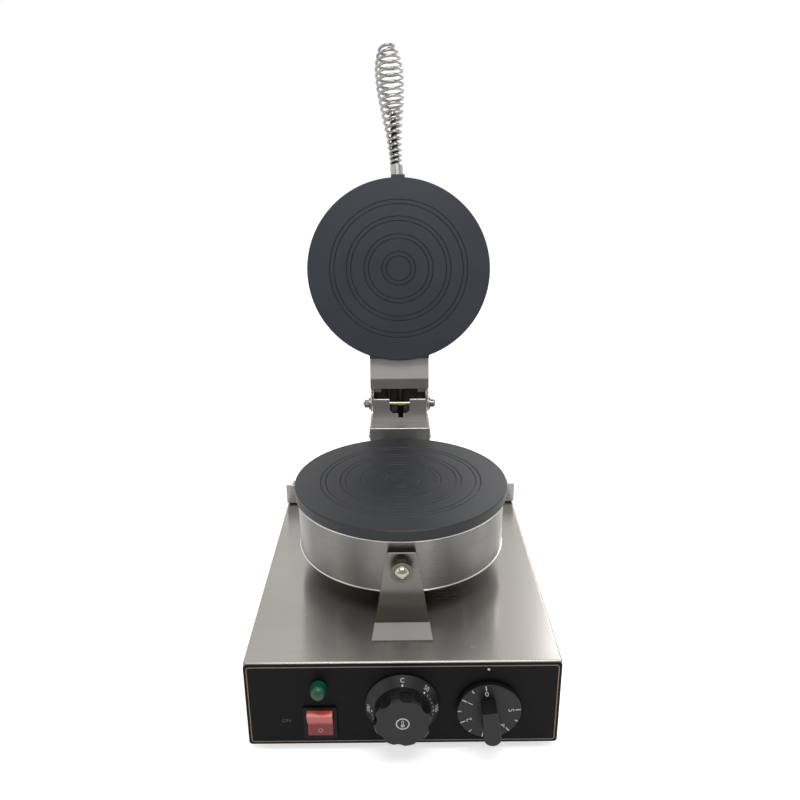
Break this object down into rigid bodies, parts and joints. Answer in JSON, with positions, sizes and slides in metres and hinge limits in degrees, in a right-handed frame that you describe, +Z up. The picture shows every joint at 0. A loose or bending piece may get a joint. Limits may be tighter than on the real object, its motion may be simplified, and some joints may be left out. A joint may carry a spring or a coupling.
{
  "type": "waffle cone maker",
  "caption": "Countertop waffle cone baker: stainless base with dials and a rocker, round plate on a drum, hinged upper plate with a chrome coil handle.",
  "frame": {"origin": "on the counter, under the middle of the open appliance's bounding box", "axes": "+Z up, -Y towards the operator and the control panel, +X to the operator's right"},
  "size_m": [0.255, 0.4677, 0.5768],
  "materials": {
    "brushed_steel": "brushed stainless sheet",
    "spun_steel": "spun stainless pan",
    "bright_steel": "polished and plated",
    "plated_fasteners": "zinc and nickel plated",
    "brass_parts": "turned brass",
    "coated_plate": "dark non-stick coating on cast metal",
    "black_panel": "black powder coat with a thin border line",
    "zinc_sheet": "zinc plated sheet",
    "element_sheath": "heat-tinted sheath",
    "mineral_wool": "pressed mineral wool",
    "rubber": "black moulded rubber",
    "cable_sheath": "dark heat-resistant sheath",
    "knob_plastic": "moulded thermoset, satin",
    "switch_plastic": "black moulded plastic",
    "red_plastic": "clear red plastic",
    "green_plastic": "clear green plastic",
    "control_case": "dark moulded case",
    "terminal_plastic": "white moulded plastic",
    "wire_sleeve": "silicone wire sleeves"
  },
  "bodies": {
    "base": {"base_housing": "brushed_steel", "rear_cover": "brushed_steel", "front_support_bracket": "brushed_steel", "hinge_post": "brushed_steel", "post_rear_cover": "brushed_steel", "hinge_bracket": "brushed_steel", "lower_drum": "spun_steel", "dome_nut": "plated_fasteners", "stud_washer": "plated_fasteners", "drum_stud": "plated_fasteners", "drum_spacer": "plated_fasteners", "drum_stud_nuts": "plated_fasteners", "deck_nuts": "plated_fasteners", "post_bolts": "plated_fasteners", "bracket_screws": "plated_fasteners", "cover_screws": "plated_fasteners", "foot_screws": "plated_fasteners", "lower_plate_screws": "plated_fasteners", "hinge_pin": "plated_fasteners", "hinge_washers": "plated_fasteners", "hinge_pin_nut": "plated_fasteners", "control_screws": "plated_fasteners", "rear_conduit": "plated_fasteners", "conduit_nuts": "plated_fasteners", "earth_stud": "brass_parts", "earth_nuts": "brass_parts", "lower_plate": "coated_plate", "front_panel": "black_panel", "base_plate": "zinc_sheet", "lower_heating_element": "element_sheath", "lower_insulation": "mineral_wool", "rubber_feet": "rubber", "rear_cover_seal": "rubber", "lid_cables": "cable_sheath", "switch_body": "switch_plastic", "indicator_body": "switch_plastic", "cord_gland": "switch_plastic", "gland_nut": "switch_plastic", "indicator_lens": "green_plastic", "thermostat_body": "control_case", "timer_body": "control_case", "terminal_block": "terminal_plastic", "wiring_harness": "wire_sleeve"},
    "lid": {"upper_plate": "coated_plate", "upper_heating_element": "element_sheath", "upper_insulation": "mineral_wool", "upper_plate_screws": "plated_fasteners", "upper_drum": "spun_steel", "lid_hinge_arm": "brushed_steel", "lid_arm_cover": "brushed_steel", "lid_arm_screws": "plated_fasteners", "handle_ferrule": "bright_steel", "handle_rod": "bright_steel", "handle_nut": "plated_fasteners", "handle_coil": "bright_steel"},
    "temperature_dial": {"temperature_knob": "knob_plastic", "thermostat_shaft": "plated_fasteners"},
    "timer_dial": {"timer_knob": "knob_plastic", "timer_shaft": "plated_fasteners"},
    "rocker": {"power_rocker": "red_plastic"}
  },
  "joints": [
    {"name": "lid_hinge", "type": "hinge", "parent": "base", "child": "lid", "pos_m": [0, 0.0902, 0.1981], "axis": [1, 0, 0], "range_deg": [0, 109.4], "deforming": ["lid_cables"]},
    {"name": "temperature_knob_turn", "type": "hinge", "parent": "base", "child": "temperature_dial", "pos_m": [-0.0004, -0.211, 0.0475], "axis": [0, -1, 0], "range_deg": [0, 290]},
    {"name": "timer_knob_turn", "type": "hinge", "parent": "base", "child": "timer_dial", "pos_m": [0.0694, -0.211, 0.044], "axis": [0, -1, 0], "range_deg": [-285, 0]},
    {"name": "power_rocker_tilt", "type": "hinge", "parent": "base", "child": "rocker", "pos_m": [-0.0675, -0.209, 0.0308], "axis": [-1, 0, 0], "range_deg": [0, 24]}
  ]
}
